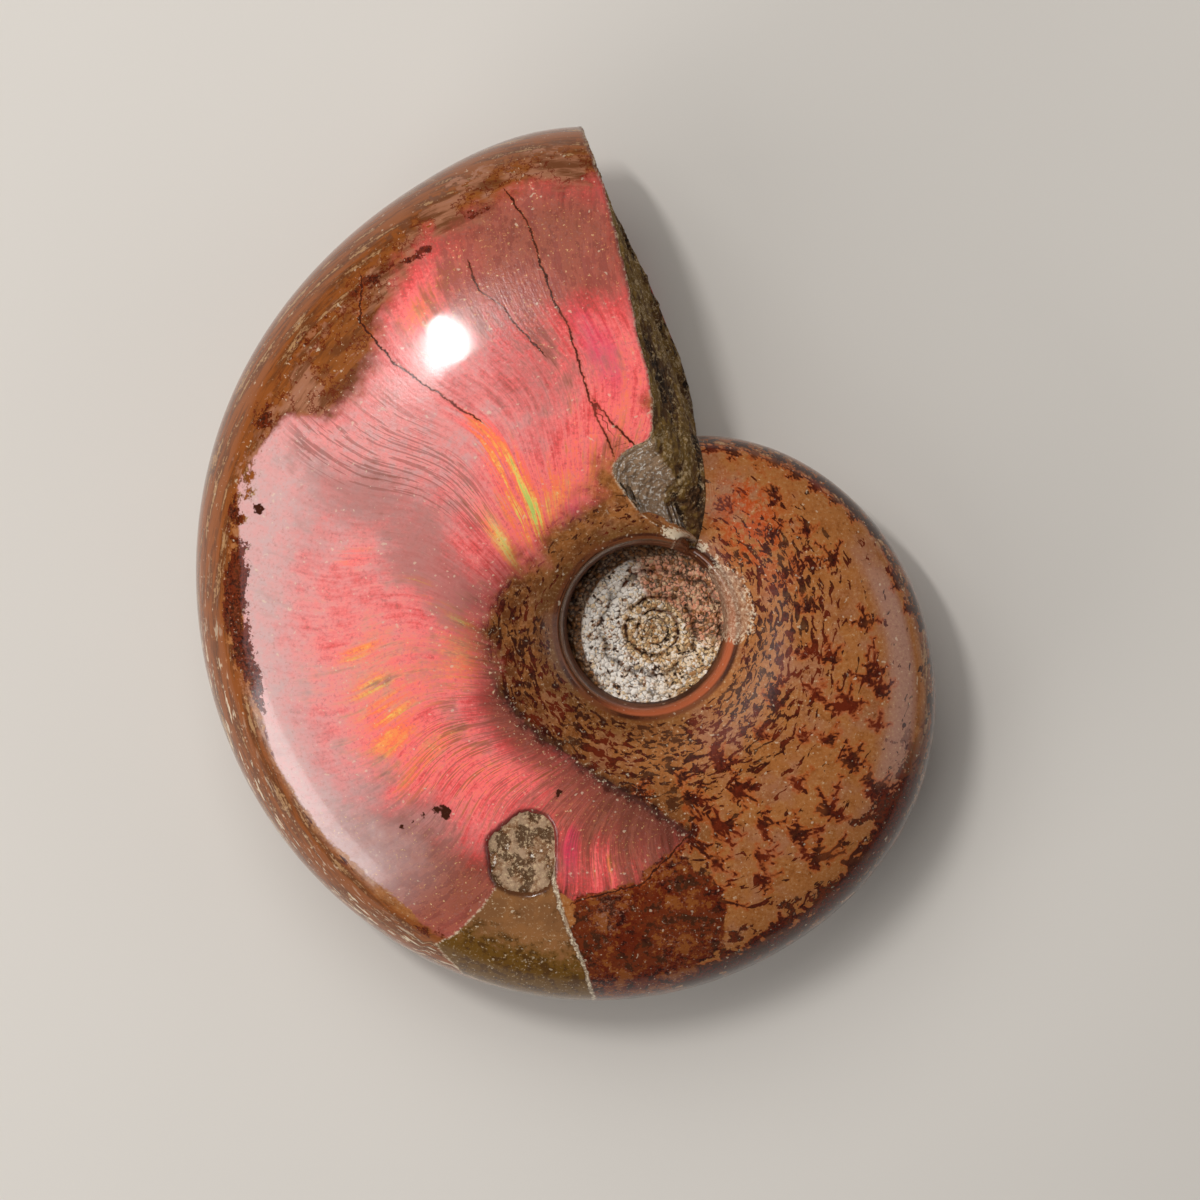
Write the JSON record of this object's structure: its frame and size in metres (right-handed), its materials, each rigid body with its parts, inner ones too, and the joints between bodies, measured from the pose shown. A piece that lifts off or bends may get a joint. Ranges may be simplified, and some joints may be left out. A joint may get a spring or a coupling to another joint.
{
  "type": "polished ammonite fossil",
  "caption": "Polished ammonite fossil lying on its flank: a solid flattened spiral of stone with a round central pit, a broken outer end, red nacre and brown suture markings.",
  "frame": {"origin": "centre of the bounding box's base, on the surface that the fossil lies on", "axes": "+Z up out of the coil's upper flank; +Y from the coil towards the broken end's tip, the longest extent; +X to the right as seen from above with +Y up"},
  "size_m": [0.0738, 0.087, 0.027],
  "materials": {
    "polished_shell": "polished nacre and brown calcite, glossy",
    "stone_matrix": "broken dark olive stone, rough",
    "umbilical_crust": "grainy cream, white and dark brown crystals, matt"
  },
  "bodies": {
    "root": {"ammonite": "polished_shell"}
  },
  "joints": []
}
